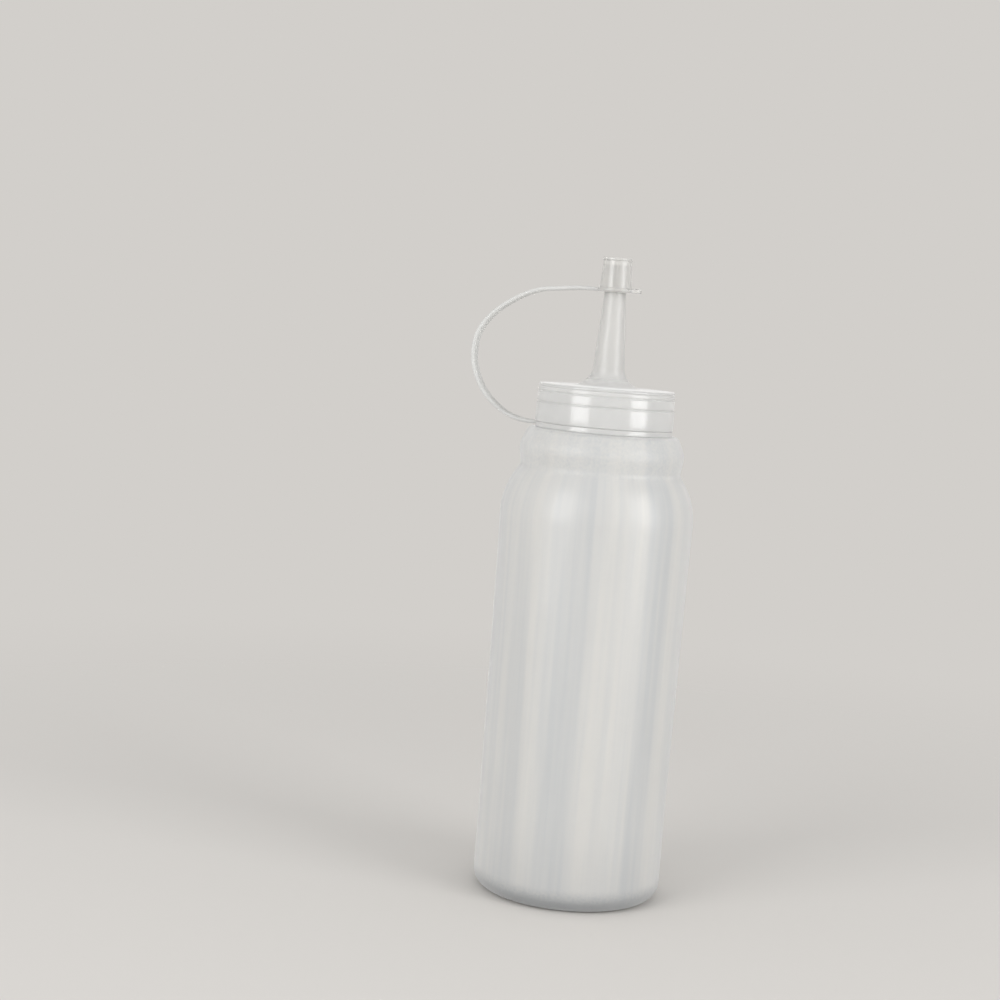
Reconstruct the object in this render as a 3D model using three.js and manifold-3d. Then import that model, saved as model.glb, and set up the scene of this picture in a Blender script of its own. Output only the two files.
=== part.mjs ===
// A squeeze bottle for sauces, as its separate mouldings: the blown bottle, the sealing washer,
// the screw cap with its nozzle, and the small tip cap that a strap and a ring tether to the neck.
// Millimetres, +Z up. The origin is on the bottle's axis, at the surface that it stands on.
import * as THREE from "three";
import { mergeVertices } from "three/addons/utils/BufferGeometryUtils.js";
import Module from "manifold-3d";

const wasm = await Module();
wasm.setup();

// Fits
const seatGap = 0.3; // between two pieces that rest on each other
const runningGap = 0.3; // beside a thread, round the nozzle tip and round the neck

// Bottle: foot and side wall
const bodyRadius = 28.5; // at the top of the side wall, its widest
const bodyTaper = 0.9; // radius lost from there to the heel
const bodyWall = 0.9;
const heelRounding = 4.7;
const standingRingWidth = 2.9; // the flat ring that touches the table
const panelRamp = 3.0; // from the standing ring in to the base panel
const panelRise = 0.8; // the base panel is pushed up by this
const baseThickness = 1.2;
const wallHeight = 118.5; // where the lines of the side wall and the shoulder cross

// Bottle: shoulder, the rounded collar above it, and neck
const shoulderRounding = 22.7; // the side wall runs over into the shoulder in one wide arc
const waistRise = 7.2; // from the side wall's top up to the waist under the collar
const waistLedge = 5.7; // the waist stands out from the neck by this
const waistRounding = 2.2;
const collarRise = 5.8; // from the waist up to the collar's widest
const collarProud = 1.05; // the collar stands out from the waist by this, before it is rounded
const collarRounding = 7.0;
const collarTopRise = 5.4; // from the collar's widest up to the ledge under the neck
const ledgeWidth = 4.3; // the flat ledge stands out from the neck by this
const ledgeRounding = 2.2;
const neckRadius = 17.6; // at the root of its thread
const neckHeight = 10.0;
const neckWall = 1.3;
const neckRootRounding = 0.6;
const rimRounding = 0.4;

// Screw thread, right-hand
const threadPitch = 4.23;
const threadDepth = 1.05;
const neckThreadTurns = 1.25;
const capThreadTurns = 1.0;
const neckThreadRoot = 2.0; // height of the ridge where it meets the wall
const neckThreadCrest = 0.9;
const capThreadRoot = 1.6;
const capThreadCrest = 0.7;
const threadEndLand = 1.1; // plain wall between a thread's end and the edge beside it
const threadSink = 0.4; // depth that a ridge reaches into its wall
const threadFadeShare = 0.1; // share of a turn over which a ridge runs out

// Screw cap
const capWall = 1.3;
const capTopThickness = 1.3;
const capTopRise = 0.25; // the top plate climbs to the nozzle by this
const capTopRounding = 0.5;
const capLowerBand = 5.8;
const capMiddleBand = 3.1;
const capSkirtRounding = 0.9; // the lower edge of the skirt
const capBandStep = 0.15; // each band is narrower than the one below it
const capGrooveDepth = 0.3;
const capGrooveHeight = 0.6;

// Nozzle
const nozzleLength = 35.3;
const nozzleBaseRadius = 5.0; // of its cone, carried down to the top plate
const nozzleTipRadius = 2.55;
const nozzleWall = 1.1;
const nozzleFlare = 6.0; // the hollow curve from the top plate into the cone
const nozzleTipRounding = 0.3;

// Sealing washer under the cap's top plate
const sealThickness = 1.0;
const sealOverhang = 0.6; // it reaches in past the neck's bore

// Tether: the ring round the neck and the strap
const ringWidth = 1.15;
const ringThickness = 1.2;
const strapWidth = 3.5;
const strapThickness = 1.2;
const strapEdge = 0.35; // its chamfered long edges
const strapReach = 42.1; // from the bottle's axis to the far side of the loop
const tetherYaw = THREE.MathUtils.degToRad(17); // the loop lies this far behind the bottle's side

// Tip cap
const tipCapDepth = 7.6;
const tipCapWall = 1.3;
const tipCapTopThickness = 2.0;
const tipCapRimHeight = 0.9;
const tipCapRimProud = 0.2;
const tipCapTopRounding = 0.3;
const tipFlangeThickness = 1.1;
const tipFlangeProud = 0.5;
const tipTabReach = 7.9; // from the axis to the end of the finger tab
const tipTabWidth = 3.4;

// Facets
const turnedFacets = 48; // round every turned piece, and in a whole turn of thread
const chordError = 0.05; // most that a facet of a rounded corner leaves its arc
const arcFitShare = 0.98; // two arcs on one line take up no more of it than this
const tabFacets = 8;
const strapSteps = 44;
const mergeTolerance = 1e-4;

// Levels, from the table up
const waistLevel = wallHeight + waistRise;
const collarLevel = waistLevel + collarRise;
const shoulderTop = collarLevel + collarTopRise;
const rimLevel = shoulderTop + neckHeight;
const ringLevel = shoulderTop + seatGap;
const skirtLevel = ringLevel + ringThickness + seatGap;
const sealLevel = rimLevel + seatGap;
const ceilingLevel = sealLevel + sealThickness + seatGap;
const capTopLevel = ceilingLevel + capTopThickness;
const nozzleRootLevel = capTopLevel + capTopRise;
const nozzleTipLevel = capTopLevel + nozzleLength;
const tipCapLevel = nozzleTipLevel - tipCapDepth;
const tipCeilingLevel = nozzleTipLevel + seatGap;
const tipTopLevel = tipCeilingLevel + tipCapTopThickness;

// Radii that follow from the neck, so that the cap, the washer and the ring stay fitted to it
const skirtBore = neckRadius + threadDepth + runningGap;
const capRadius = skirtBore + capWall;
const neckBore = neckRadius - neckWall;
const ringOuterRadius = skirtBore + ringWidth;

// The nozzle's outside radius at a level on its cone
function nozzleRadiusAt(level) {
  const share = (level - nozzleRootLevel) / (nozzleTipLevel - nozzleRootLevel);
  return THREE.MathUtils.lerp(nozzleBaseRadius, nozzleTipRadius, share);
}

// The wanted arc at one corner of an outline. Its reach is how far it takes up the line on each side.
function arcAt(corners, i) {
  const [radius, level, rounding = 0] = corners[i];
  const corner = new THREE.Vector2(radius, level);
  if (!rounding) return { corner, rounding, reach: 0 };
  const back = new THREE.Vector2(...corners[i - 1].slice(0, 2)).sub(corner);
  const ahead = new THREE.Vector2(...corners[i + 1].slice(0, 2)).sub(corner);
  const opening = back.angleTo(ahead);
  return { corner, rounding, back, ahead, opening, reach: rounding / Math.tan(opening / 2) };
}

// A list of corners becomes the points of an outline, with an arc at each corner that is rounded.
// A corner is [radius, level] or [radius, level, rounding]. An arc is made smaller where it and the
// next one don't both fit on the line between them.
function outlineOf(corners) {
  const arcs = corners.map((_, i) => arcAt(corners, i));
  const points = [];
  arcs.forEach(({ corner, rounding: wanted, back, ahead, opening, reach }, i) => {
    if (!wanted) {
      points.push(corner);
      return;
    }
    const roomBefore = (arcFitShare * back.length()) / (reach + arcs[i - 1].reach);
    const roomAfter = (arcFitShare * ahead.length()) / (reach + arcs[i + 1].reach);
    const fit = Math.min(1, roomBefore, roomAfter);
    const rounding = wanted * fit;
    const turn = Math.PI - opening;
    const turnSide = -Math.sign(back.cross(ahead));
    const start = corner.clone().addScaledVector(back.normalize(), reach * fit);
    const toCentre = back.clone().add(ahead.normalize()).normalize();
    const centre = corner.clone().addScaledVector(toCentre, rounding / Math.sin(opening / 2));
    const facetTurn = 2 * Math.acos(1 - Math.min(1, chordError / rounding));
    const steps = Math.ceil(turn / facetTurn);
    for (let step = 0; step <= steps; step++) {
      points.push(start.clone().rotateAround(centre, (turnSide * turn * step) / steps));
    }
  });
  return points;
}

// Corners that start and end on the axis give a solid of revolution about Z.
function turned(corners) {
  return new THREE.LatheGeometry(outlineOf(corners), turnedFacets).rotateX(Math.PI / 2);
}

// Corners that stay off the axis are closed into a ring.
function turnedRing(corners) {
  return turned([...corners, corners[0]]);
}

function solidOf(geometry) {
  const bare = geometry.clone().deleteAttribute("normal").deleteAttribute("uv");
  const merged = mergeVertices(bare, mergeTolerance);
  const vertProperties = merged.getAttribute("position").array;
  const triVerts = new Uint32Array(merged.index.array);
  return new wasm.Manifold(new wasm.Mesh({ numProp: 3, vertProperties, triVerts }));
}

function geometryOf(solid) {
  const { vertProperties, triVerts } = solid.getMesh();
  const geometry = new THREE.BufferGeometry();
  geometry.setAttribute("position", new THREE.BufferAttribute(vertProperties, 3));
  geometry.setIndex(new THREE.BufferAttribute(triVerts, 1));
  const faceted = geometry.toNonIndexed();
  faceted.computeVertexNormals();
  return faceted;
}

function joined(...geometries) {
  return geometryOf(geometries.map(solidOf).reduce((whole, piece) => whole.add(piece)));
}

// One helical ridge. It climbs a pitch in each turn, and its crest sinks to the wall at both ends.
function threadRidge({ wallRadius, crestRadius, rootHeight, crestHeight, startLevel, startTurn, turns }) {
  const steps = Math.round(turns * turnedFacets);
  const fadeSteps = threadFadeShare * turnedFacets;
  const outward = Math.sign(crestRadius - wallRadius);
  const rootRadius = wallRadius - outward * threadSink;
  const positions = [];
  for (let step = 0; step <= steps; step++) {
    const angle = (startTurn + step / turnedFacets) * 2 * Math.PI;
    const level = startLevel + (threadPitch * step) / turnedFacets;
    const fade = Math.min(1, step / fadeSteps, (steps - step) / fadeSteps);
    const crest = THREE.MathUtils.lerp(wallRadius, crestRadius, fade);
    const section = [
      [rootRadius, level - rootHeight / 2],
      [crest, level - crestHeight / 2],
      [crest, level + crestHeight / 2],
      [rootRadius, level + rootHeight / 2],
    ];
    for (const [radius, z] of section) {
      positions.push(radius * Math.cos(angle), radius * Math.sin(angle), z);
    }
  }
  const sides = 4;
  const faces = [];
  const quad = (a, b, c, d) => faces.push(...(outward > 0 ? [a, b, c, a, c, d] : [a, c, b, a, d, c]));
  for (let step = 0; step < steps; step++) {
    for (let side = 0; side < sides; side++) {
      const low = step * sides + side;
      const high = step * sides + ((side + 1) % sides);
      quad(low, low + sides, high + sides, high);
    }
  }
  const last = steps * sides;
  quad(0, 1, 2, 3);
  quad(last + 3, last + 2, last + 1, last);
  const geometry = new THREE.BufferGeometry();
  geometry.setAttribute("position", new THREE.Float32BufferAttribute(positions, 3));
  geometry.setIndex(faces);
  return geometry;
}

// Where the two threads lie. The cap's ridge runs on the same helix as the neck's, half a pitch
// below it, so it slides between the neck's turns as the cap is screwed up or down.
const neckThreadEnd = rimLevel - threadEndLand - neckThreadCrest / 2;
const neckThreadStart = neckThreadEnd - neckThreadTurns * threadPitch;
const capThreadStart = skirtLevel + threadEndLand + capThreadCrest / 2;
const capThreadRise = capThreadStart - (neckThreadStart - threadPitch / 2);
const capThreadTurnIn = Math.round((capThreadRise / threadPitch) * turnedFacets) / turnedFacets;

function bottleBody() {
  const heelRadius = bodyRadius - bodyTaper;
  const ringOuter = heelRadius - heelRounding;
  const ringInner = ringOuter - standingRingWidth;
  const panelRadius = ringInner - panelRamp;
  const floorLevel = panelRise + baseThickness;
  const waistRadius = neckRadius + waistLedge;
  const collarRadius = waistRadius + collarProud;
  const ledgeRadius = neckRadius + ledgeWidth;
  const shell = turned([
    [0, panelRise],
    [panelRadius, panelRise],
    [ringInner, 0],
    [heelRadius, 0, heelRounding],
    [bodyRadius, wallHeight, shoulderRounding],
    [waistRadius, waistLevel, waistRounding],
    [collarRadius, collarLevel, collarRounding],
    [ledgeRadius, shoulderTop, ledgeRounding],
    [neckRadius, shoulderTop, neckRootRounding],
    [neckRadius, rimLevel, rimRounding],
    [neckBore, rimLevel, rimRounding],
    [neckBore, shoulderTop - bodyWall, neckRootRounding + neckWall],
    [ledgeRadius - bodyWall, shoulderTop - bodyWall, ledgeRounding - bodyWall],
    [collarRadius - bodyWall, collarLevel, collarRounding - bodyWall],
    [waistRadius - bodyWall, waistLevel, waistRounding + bodyWall],
    [bodyRadius - bodyWall, wallHeight, shoulderRounding - bodyWall],
    [heelRadius - bodyWall, floorLevel, heelRounding - bodyWall],
    [0, floorLevel],
  ]);
  const thread = threadRidge({
    wallRadius: neckRadius,
    crestRadius: neckRadius + threadDepth,
    rootHeight: neckThreadRoot,
    crestHeight: neckThreadCrest,
    startLevel: neckThreadStart,
    startTurn: 0,
    turns: neckThreadTurns,
  });
  return joined(shell, thread);
}

function screwCap() {
  const middleRadius = capRadius - capBandStep;
  const topRadius = middleRadius - capBandStep;
  const lowerGroove = skirtLevel + capLowerBand;
  const upperGroove = lowerGroove + capMiddleBand;
  const grooveCorners = (level, radiusBelow, radiusAbove) => [
    [radiusBelow, level - capGrooveHeight / 2],
    [radiusAbove - capGrooveDepth, level],
    [radiusAbove, level + capGrooveHeight / 2],
  ];
  const shell = turnedRing([
    [skirtBore, skirtLevel],
    [capRadius, skirtLevel, capSkirtRounding],
    ...grooveCorners(lowerGroove, capRadius, middleRadius),
    ...grooveCorners(upperGroove, middleRadius, topRadius),
    [topRadius, capTopLevel, capTopRounding],
    [nozzleBaseRadius, nozzleRootLevel, nozzleFlare],
    [nozzleTipRadius, nozzleTipLevel, nozzleTipRounding],
    [nozzleTipRadius - nozzleWall, nozzleTipLevel],
    [nozzleBaseRadius - nozzleWall, ceilingLevel, nozzleFlare + nozzleWall],
    [skirtBore, ceilingLevel],
  ]);
  const thread = threadRidge({
    wallRadius: skirtBore,
    crestRadius: skirtBore - threadDepth,
    rootHeight: capThreadRoot,
    crestHeight: capThreadCrest,
    startLevel: neckThreadStart - threadPitch / 2 + capThreadTurnIn * threadPitch,
    startTurn: capThreadTurnIn,
    turns: capThreadTurns,
  });
  return joined(shell, thread);
}

function sealRing() {
  const outer = skirtBore - runningGap;
  const inner = neckBore - sealOverhang;
  return turnedRing([
    [inner, sealLevel],
    [outer, sealLevel],
    [outer, sealLevel + sealThickness],
    [inner, sealLevel + sealThickness],
  ]);
}

function neckRing() {
  return turnedRing([
    [skirtBore, ringLevel],
    [ringOuterRadius, ringLevel],
    [ringOuterRadius, ringLevel + ringThickness],
    [skirtBore, ringLevel + ringThickness],
  ]);
}

const tipCapMouth = nozzleRadiusAt(tipCapLevel) + runningGap;
const tipCapRadius = tipCapMouth + tipCapWall;
const tipFlangeRadius = tipCapRadius + tipFlangeProud;

function tipCap() {
  const ceilingRadius = nozzleTipRadius + runningGap;
  const topRadius = ceilingRadius + tipCapWall;
  const rimRadius = topRadius + tipCapRimProud;
  const rimFoot = tipTopLevel - tipCapRimHeight;
  const thimble = turned([
    [0, tipCeilingLevel],
    [ceilingRadius, tipCeilingLevel],
    [tipCapMouth, tipCapLevel],
    [tipFlangeRadius, tipCapLevel],
    [tipFlangeRadius, tipCapLevel + tipFlangeThickness],
    [tipCapRadius, tipCapLevel + tipFlangeThickness],
    [topRadius, rimFoot],
    [rimRadius, rimFoot],
    [rimRadius, tipTopLevel, tipCapTopRounding],
    [0, tipTopLevel],
  ]);
  const halfWidth = tipTabWidth / 2;
  const tabRoot = tipCapMouth + tipCapWall / 2;
  const tabEnd = tipTabReach - halfWidth;
  const tabOutline = new THREE.Shape();
  tabOutline.moveTo(tabRoot, -halfWidth);
  tabOutline.lineTo(tabEnd, -halfWidth);
  tabOutline.absarc(tabEnd, 0, halfWidth, -Math.PI / 2, Math.PI / 2, false);
  tabOutline.lineTo(tabRoot, halfWidth);
  const tab = new THREE.ExtrudeGeometry(tabOutline, {
    depth: tipFlangeThickness,
    bevelEnabled: false,
    curveSegments: tabFacets,
  }).translate(0, 0, tipCapLevel);
  return joined(thimble, tab);
}

// The strap's route from the tip cap to the neck ring, in the plane of the loop. Each pair is a
// share of the reach out from the axis and a share of the rise from the ring up to the tip cap.
const strapRouteShares = [
  [0.25, 1.0],
  [0.4, 0.985],
  [0.55, 0.965],
  [0.7, 0.9],
  [0.86, 0.785],
  [0.965, 0.65],
  [1.0, 0.51],
  [0.985, 0.36],
  [0.9, 0.19],
  [0.76, 0.065],
  [0.62, 0.01],
];

function tetherStrap() {
  const upperLevel = tipCapLevel + tipFlangeThickness / 2;
  const lowerLevel = ringLevel + ringThickness / 2;
  const between = strapRouteShares.map(([out, up]) => {
    const level = THREE.MathUtils.lerp(lowerLevel, upperLevel, up);
    return new THREE.Vector3(-out * strapReach, 0, level);
  });
  const route = new THREE.CatmullRomCurve3(
    [
      new THREE.Vector3(-(tipFlangeRadius + seatGap), 0, upperLevel),
      ...between,
      new THREE.Vector3(-(ringOuterRadius + seatGap), 0, lowerLevel),
    ],
    false,
    "centripetal",
  );
  const halfWidth = strapWidth / 2;
  const halfThickness = strapThickness / 2;
  const section = new THREE.Shape([
    new THREE.Vector2(halfWidth - strapEdge, -halfThickness),
    new THREE.Vector2(halfWidth, -halfThickness + strapEdge),
    new THREE.Vector2(halfWidth, halfThickness - strapEdge),
    new THREE.Vector2(halfWidth - strapEdge, halfThickness),
    new THREE.Vector2(-halfWidth + strapEdge, halfThickness),
    new THREE.Vector2(-halfWidth, halfThickness - strapEdge),
    new THREE.Vector2(-halfWidth, -halfThickness + strapEdge),
    new THREE.Vector2(-halfWidth + strapEdge, -halfThickness),
  ]);
  return new THREE.ExtrudeGeometry(section, { steps: strapSteps, extrudePath: route });
}

// Natural low-density polyethylene: milky, half clear, with a soft gloss
const milkyPlastic = new THREE.MeshStandardMaterial({
  color: 0xe4e3df,
  roughness: 0.42,
  metalness: 0,
  transparent: true,
  opacity: 0.8,
});
const clearerPlastic = new THREE.MeshStandardMaterial({
  color: 0xe9e7e3,
  roughness: 0.35,
  metalness: 0,
  transparent: true,
  opacity: 0.75,
});
const washerFoam = new THREE.MeshStandardMaterial({ color: 0xeeeeea, roughness: 0.7, metalness: 0 });

function piece(name, geometry, material) {
  const mesh = new THREE.Mesh(geometry, material);
  mesh.name = name;
  return mesh;
}

const tether = new THREE.Group();
tether.rotation.z = -tetherYaw;
tether.add(
  piece("neck_ring", neckRing(), clearerPlastic),
  piece("tether_strap", tetherStrap(), clearerPlastic),
  piece("tip_cap", tipCap(), clearerPlastic),
);

const squeezeBottle = new THREE.Group();
squeezeBottle.add(
  piece("bottle_body", bottleBody(), milkyPlastic),
  piece("seal_ring", sealRing(), washerFoam),
  piece("screw_cap", screwCap(), clearerPlastic),
  tether,
);

export default squeezeBottle;
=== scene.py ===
# %% [markdown]
# # A squeeze bottle for sauces
# The bottle is soft polyethylene, which lets light through and blurs what is behind it. It is made in
# four parts: the blown bottle, a thin washer, a screw cap with a long nozzle, and a tether whose ring
# goes round the neck and whose tip cap closes the nozzle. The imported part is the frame, and each
# smooth piece made here stands for one of its solids. Everything is in metres, +Z up.

# %% Load the frame
import math

import bmesh
import bpy
import numpy as np
from mathutils import Matrix, Vector


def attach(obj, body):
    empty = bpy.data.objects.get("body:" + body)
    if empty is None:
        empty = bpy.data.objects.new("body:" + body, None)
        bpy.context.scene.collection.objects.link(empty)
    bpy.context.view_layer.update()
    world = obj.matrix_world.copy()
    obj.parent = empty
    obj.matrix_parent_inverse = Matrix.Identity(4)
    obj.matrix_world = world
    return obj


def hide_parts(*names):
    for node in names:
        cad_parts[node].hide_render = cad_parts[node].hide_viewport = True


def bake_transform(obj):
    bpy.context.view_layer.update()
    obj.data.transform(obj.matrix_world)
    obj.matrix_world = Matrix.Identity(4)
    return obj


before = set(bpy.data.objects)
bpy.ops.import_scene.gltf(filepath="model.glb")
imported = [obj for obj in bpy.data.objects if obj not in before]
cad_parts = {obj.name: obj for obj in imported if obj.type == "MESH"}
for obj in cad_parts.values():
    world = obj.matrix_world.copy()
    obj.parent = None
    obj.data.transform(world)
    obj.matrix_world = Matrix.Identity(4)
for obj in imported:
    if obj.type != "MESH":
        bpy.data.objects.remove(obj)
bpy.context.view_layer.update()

# %% [markdown]
# ## Helpers
# A node tree is written with one function that adds a node, sets its options and joins its inputs.
# Sizes are given in millimetres, as on a drawing of the bottle, and are turned to metres once.
# A piece grown by a tree is kept as a plain mesh, because a plain mesh can ride on the frame. Points
# nearer to each other than SAME_POINT, in millimetres, are merged.

# %% Nodes, trees and plain meshes
MM = 0.001
SAME_POINT = 0.002


def add_node(tree, kind, inputs=None, **settings):
    made = tree.nodes.new(kind)
    for name, value in settings.items():
        setattr(made, name, value)
    for socket, value in (inputs or {}).items():
        if isinstance(value, bpy.types.NodeSocket):
            tree.links.new(value, made.inputs[socket])
        else:
            made.inputs[socket].default_value = value
    return made


def start_tree(name, wanted):
    """A Geometry Nodes tree with the wanted inputs, given by name and socket type."""
    tree = bpy.data.node_groups.new(name, "GeometryNodeTree")
    tree.interface.new_socket(name="Geometry", in_out="INPUT", socket_type="NodeSocketGeometry")
    for label, kind in wanted.items():
        tree.interface.new_socket(name=label, in_out="INPUT", socket_type="NodeSocket" + kind)
    tree.interface.new_socket(name="Finish", in_out="INPUT", socket_type="NodeSocketMaterial")
    tree.interface.new_socket(name="Geometry", in_out="OUTPUT", socket_type="NodeSocketGeometry")
    return tree, tree.nodes.new("NodeGroupInput").outputs


def end_tree(tree, geometry, finish):
    smooth = add_node(tree, "GeometryNodeSetShadeSmooth", {"Geometry": geometry})
    real = add_node(tree, "GeometryNodeRealizeInstances", {"Geometry": smooth.outputs["Geometry"]})
    dressed = add_node(
        tree, "GeometryNodeSetMaterial", {"Geometry": real.outputs["Geometry"], "Material": finish}
    )
    out = tree.nodes.new("NodeGroupOutput")
    tree.links.new(dressed.outputs["Geometry"], out.inputs["Geometry"])


def grow(name, start_mesh, tree, values):
    """Runs a tree on a starting mesh and gives back a plain mesh object."""
    maker = bpy.data.objects.new(name + "_maker", start_mesh)
    bpy.context.scene.collection.objects.link(maker)
    grown = maker.modifiers.new("grown", "NODES")
    grown.node_group = tree
    sockets = {s.name: s.identifier for s in tree.interface.items_tree if s.in_out == "INPUT"}
    for label, value in values.items():
        grown[sockets[label]] = value
    bpy.context.view_layer.update()
    shown = maker.evaluated_get(bpy.context.evaluated_depsgraph_get())
    made = bpy.data.objects.new(name, bpy.data.meshes.new_from_object(shown))
    made.data.name = name
    bpy.context.scene.collection.objects.link(made)
    bpy.data.objects.remove(maker)
    return made


def report(piece):
    corners = np.array([v.co for v in piece.data.vertices]) / MM
    print(piece.name, "has", len(piece.data.polygons), "faces; from", corners.min(0).round(2), end=" ")
    print("to", corners.max(0).round(2), "mm")


print("a millimetre is", MM, "metres here")

# %% [markdown]
# ## Outlines
# Every turned piece is drawn as half of its section, from the axis outwards. A real moulding has no
# sharp corner, and the small roundings are what catch a line of light, so a corner may carry a
# rounding. An arc is cut into as many steps as keep it within a few microns of the true circle.

# %% Draw an outline with rounded corners
ARC_ERROR = 0.004


def turned_by(point, centre, angle):
    cos, sin = math.cos(angle), math.sin(angle)
    x, y = point - centre
    return centre + np.array([x * cos - y * sin, x * sin + y * cos])


def cut_up(points, longest_step):
    """The same line, with more points, so that no two are further apart than longest_step."""
    finer = []
    for start, end in zip(points, points[1:]):
        steps = math.ceil(max(1, np.linalg.norm(end - start) / longest_step))
        finer += [start + (end - start) * n / steps for n in range(steps)]
    return finer + [points[-1]]


def outline_of(corners, closed=False, longest_step=None):
    """Corners are (radius, level) or (radius, level, rounding) in millimetres."""
    points = []
    for i, (radius, level, *rounding) in enumerate(corners):
        here = np.array([radius, level], float)
        if not rounding:
            points.append(here)
            continue
        back = np.array(corners[i - 1][:2], float) - here
        ahead = np.array(corners[(i + 1) % len(corners)][:2], float) - here
        back /= np.linalg.norm(back)
        ahead /= np.linalg.norm(ahead)
        opening = math.acos(np.clip(back @ ahead, -1, 1))
        side = -np.sign(back[0] * ahead[1] - back[1] * ahead[0])
        start = here + back * rounding[0] / math.tan(opening / 2)
        middle = (back + ahead) / np.linalg.norm(back + ahead)
        centre = here + middle * rounding[0] / math.sin(opening / 2)
        turn = math.pi - opening
        steps = max(2, math.ceil(turn / (2 * math.acos(1 - ARC_ERROR / rounding[0]))))
        points += [turned_by(start, centre, side * turn * n / steps) for n in range(steps + 1)]
    if closed:
        points.append(points[0])
    return cut_up(points, longest_step) if longest_step else points


def line_mesh(name, points):
    """Points (x, z) in millimetres become a mesh of one line in the XZ plane, in metres."""
    mesh = bpy.data.meshes.new(name)
    places = [(x * MM, 0, z * MM) for x, z in points]
    mesh.from_pydata(places, [(i, i + 1) for i in range(len(places) - 1)], [])
    return mesh


print("a 90 degree corner of 0.3 mm has", len(outline_of([(0, 0), (1, 0, 0.3), (1, 1)])) - 3, "steps")

# %% [markdown]
# ## A lathe in Geometry Nodes
# A potter's wheel or a lathe makes a round piece from one outline, and this tree does the same. A
# grid has one column for each angle and one row for each point of the outline. Each of its points
# is moved to the outline's radius and level at its own angle, and the points that meet, at the axis
# and where the last column closes on the first, are merged. Spin would do it too, but the tree
# keeps its sizes as named inputs, and it can also press the wall in a little, as a blown wall is
# never a true circle. The pressing in comes from one fixed noise, so it is the same each time.

# %% The lathe tree
lathe, given = start_tree(
    "turned piece",
    {
        "Columns": "Int",
        "Press in": "Float",
        "Press from": "Float",
        "Press to": "Float",
        "Press fade": "Float",
    },
)
outline_size = add_node(lathe, "GeometryNodeAttributeDomainSize", {"Geometry": given["Geometry"]})
rows = outline_size.outputs["Point Count"]
edges = add_node(lathe, "FunctionNodeIntegerMath", {0: given["Columns"], 1: 1}, operation="ADD")
grid = add_node(
    lathe,
    "GeometryNodeMeshGrid",
    {"Size X": 1.0, "Size Y": 1.0, "Vertices X": edges.outputs[0], "Vertices Y": rows},
)
index = add_node(lathe, "GeometryNodeInputIndex").outputs[0]
column = add_node(lathe, "FunctionNodeIntegerMath", {0: index, 1: rows}, operation="DIVIDE_FLOOR")
row = add_node(lathe, "FunctionNodeIntegerMath", {0: index, 1: rows}, operation="MODULO")
share = add_node(
    lathe, "ShaderNodeMath", {0: column.outputs[0], 1: given["Columns"]}, operation="DIVIDE"
)
angle = add_node(lathe, "ShaderNodeMath", {0: share.outputs[0], 1: math.tau}, operation="MULTIPLY")
across = add_node(lathe, "ShaderNodeMath", {0: angle.outputs[0]}, operation="COSINE").outputs[0]
along = add_node(lathe, "ShaderNodeMath", {0: angle.outputs[0]}, operation="SINE").outputs[0]
drawn = add_node(
    lathe,
    "GeometryNodeSampleIndex",
    {
        "Geometry": given["Geometry"],
        "Value": add_node(lathe, "GeometryNodeInputPosition").outputs[0],
        "Index": row.outputs[0],
    },
    data_type="FLOAT_VECTOR",
)
on_line = add_node(lathe, "ShaderNodeSeparateXYZ", {0: drawn.outputs[0]}).outputs
facing = add_node(lathe, "ShaderNodeCombineXYZ", {"X": across, "Y": along, "Z": 0.0}).outputs[0]

# %% Press the wall in where it is free
# The noise is read on a circle of radius 1, so LOBE_SCALE gives about six lobes round the wall. A
# metre of height counts as LOBE_STRETCH, which gives one or two lobes up the wall.
LOBE_SCALE = 0.9
LOBE_STRETCH = 14.0
height_share = add_node(
    lathe, "ShaderNodeMath", {0: on_line["Z"], 1: LOBE_STRETCH}, operation="MULTIPLY"
)
noise_place = add_node(
    lathe, "ShaderNodeCombineXYZ", {"X": across, "Y": along, "Z": height_share.outputs[0]}
)
lobes = add_node(
    lathe,
    "ShaderNodeTexNoise",
    {"Vector": noise_place.outputs[0], "Scale": LOBE_SCALE, "Detail": 1.0, "Roughness": 0.3},
)
above = add_node(
    lathe, "ShaderNodeMath", {0: on_line["Z"], 1: given["Press from"]}, operation="SUBTRACT"
)
below = add_node(lathe, "ShaderNodeMath", {0: given["Press to"], 1: on_line["Z"]}, operation="SUBTRACT")
nearest = add_node(
    lathe, "ShaderNodeMath", {0: above.outputs[0], 1: below.outputs[0]}, operation="MINIMUM"
)
inside = add_node(
    lathe,
    "ShaderNodeMapRange",
    {"Value": nearest.outputs[0], "From Min": 0.0, "From Max": given["Press fade"]},
    interpolation_type="SMOOTHSTEP",
)
pressed = add_node(
    lathe, "ShaderNodeMath", {0: inside.outputs[0], 1: lobes.outputs[0]}, operation="MULTIPLY"
)
depth = add_node(
    lathe, "ShaderNodeMath", {0: pressed.outputs[0], 1: given["Press in"]}, operation="MULTIPLY"
)
radius = add_node(lathe, "ShaderNodeMath", {0: on_line["X"], 1: depth.outputs[0]}, operation="SUBTRACT")
outward = add_node(
    lathe, "ShaderNodeVectorMath", {0: facing, "Scale": radius.outputs[0]}, operation="SCALE"
)
upward = add_node(lathe, "ShaderNodeCombineXYZ", {"X": 0.0, "Y": 0.0, "Z": on_line["Z"]})
place = add_node(
    lathe, "ShaderNodeVectorMath", {0: outward.outputs[0], 1: upward.outputs[0]}, operation="ADD"
)
turned = add_node(
    lathe, "GeometryNodeSetPosition", {"Geometry": grid.outputs["Mesh"], "Position": place.outputs[0]}
)
closed_up = add_node(
    lathe,
    "GeometryNodeMergeByDistance",
    {"Geometry": turned.outputs["Geometry"], "Distance": SAME_POINT * MM},
)
end_tree(lathe, closed_up.outputs["Geometry"], given["Finish"])
print("the lathe has", len(lathe.nodes), "nodes")

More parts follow.
